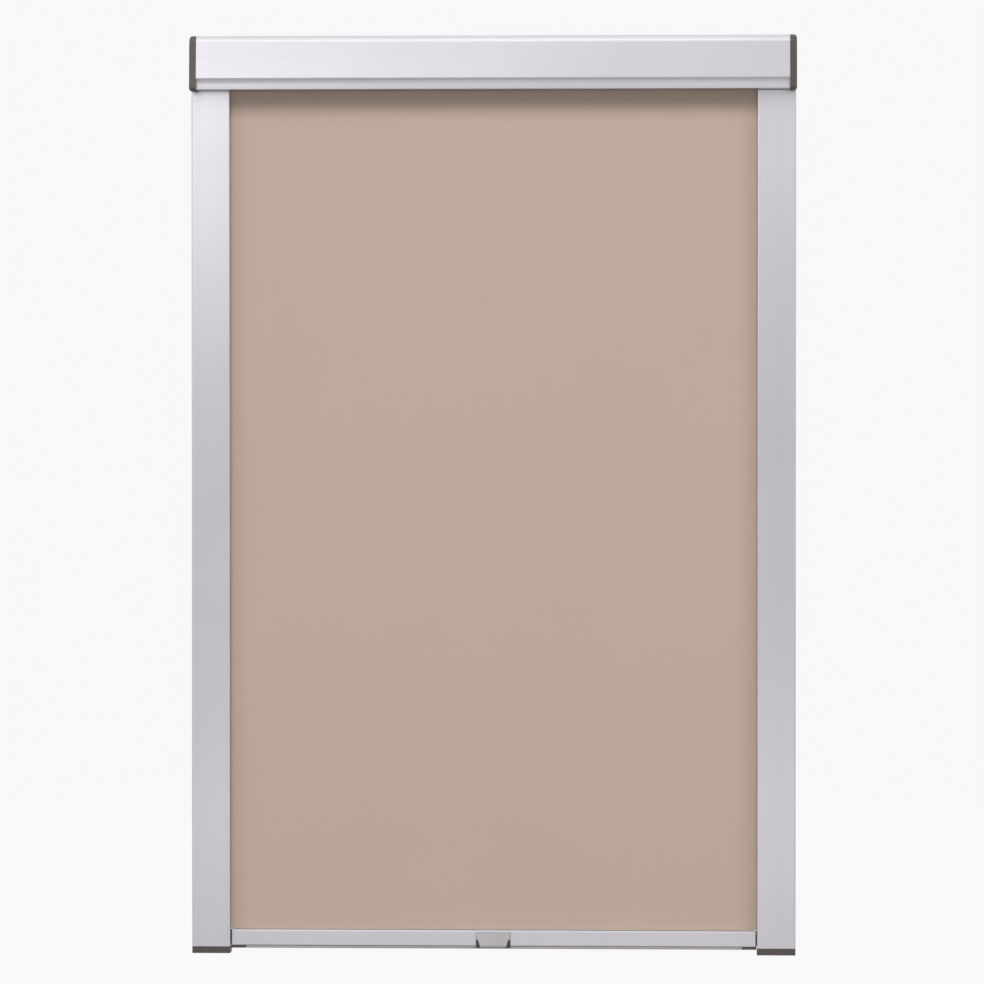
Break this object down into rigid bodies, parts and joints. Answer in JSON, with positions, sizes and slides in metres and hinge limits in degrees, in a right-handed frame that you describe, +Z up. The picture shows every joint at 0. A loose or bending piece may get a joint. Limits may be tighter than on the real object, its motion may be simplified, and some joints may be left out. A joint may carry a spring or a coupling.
{
  "type": "skylight window blind",
  "caption": "Cassette roller blind for a roof window: aluminium cassette and side rails, beige blackout fabric, and a sliding bottom bar with a finger grip.",
  "frame": {"origin": "middle of the cassette's flat back face", "axes": "+Z up along the side rails, +Y towards the window that the blind is fixed to, +X to the right as seen from the room"},
  "size_m": [0.613, 0.0404, 0.9296],
  "materials": {
    "satin_aluminium": "satin anodised, fine lines along the extrusion",
    "dark_plastic": "fine matt grain, dark grey-brown",
    "grip_plastic": "satin silver-grey",
    "white_plastic": "plain moulded",
    "steel": "zinc plated",
    "blackout_fabric": "matt beige weave, pale coated back",
    "pile": "short brushed pile",
    "seal_rubber": "soft matt"
  },
  "bodies": {
    "casing": {"cassette_cover": "satin_aluminium", "cassette_back": "satin_aluminium", "slot_seal_front": "pile", "slot_seal_rear": "pile", "left_end_cap": "dark_plastic", "right_end_cap": "dark_plastic", "left_front_cap_screw": "steel", "right_front_cap_screw": "steel", "left_rear_cap_screw": "steel", "right_rear_cap_screw": "steel", "left_mount_bracket": "steel", "right_mount_bracket": "steel", "left_rail_track": "satin_aluminium", "right_rail_track": "satin_aluminium", "left_rail_cover": "satin_aluminium", "right_rail_cover": "satin_aluminium", "left_front_fleece": "pile", "right_front_fleece": "pile", "left_rear_fleece": "pile", "right_rear_fleece": "pile", "left_rail_bottom_cap": "dark_plastic", "right_rail_bottom_cap": "dark_plastic", "bearing_bush": "white_plastic", "spring_shaft": "steel", "spring_anchor_collar": "white_plastic", "torsion_spring": "steel", "blackout_fabric": "blackout_fabric"},
    "roller": {"roller_tube": "satin_aluminium", "fabric_wraps": "blackout_fabric", "tube_keder": "white_plastic", "idler_plug": "white_plastic", "idler_pin": "steel", "bearing_plug": "white_plastic", "spring_drive_plug": "white_plastic"},
    "bar": {"bottom_bar": "satin_aluminium", "bar_seal_strip": "seal_rubber", "hem_spline": "white_plastic", "finger_grip": "grip_plastic", "left_bar_guide": "dark_plastic", "right_bar_guide": "dark_plastic", "left_brake_spring": "steel", "right_brake_spring": "steel"},
    "left_shoe": {"left_brake_shoe": "dark_plastic"},
    "right_shoe": {"right_brake_shoe": "dark_plastic"}
  },
  "joints": [
    {"name": "bar_slide", "type": "slide", "parent": "casing", "child": "bar", "axis": [0, 0, 1], "range_m": [0, 0.838], "deforming": ["blackout_fabric"]},
    {"name": "roller_spin", "type": "hinge", "parent": "casing", "child": "roller", "pos_m": [0, -0.01951, 0.001], "axis": [1, 0, 0], "range_deg": [0, 3494], "deforming": ["torsion_spring"]},
    {"name": "left_shoe_press", "type": "slide", "parent": "bar", "child": "left_shoe", "axis": [1, 0, 0], "range_m": [0, 0.0012], "stiffness_N_per_m": 300, "springref_m": -0.004, "deforming": ["left_brake_spring"]},
    {"name": "right_shoe_press", "type": "slide", "parent": "bar", "child": "right_shoe", "axis": [-1, 0, 0], "range_m": [0, 0.0012], "stiffness_N_per_m": 300, "springref_m": -0.004, "deforming": ["right_brake_spring"]}
  ],
  "couplings": [
    {"joint": "roller_spin", "follows": "bar_slide", "rad_per_m": 72.73}
  ]
}
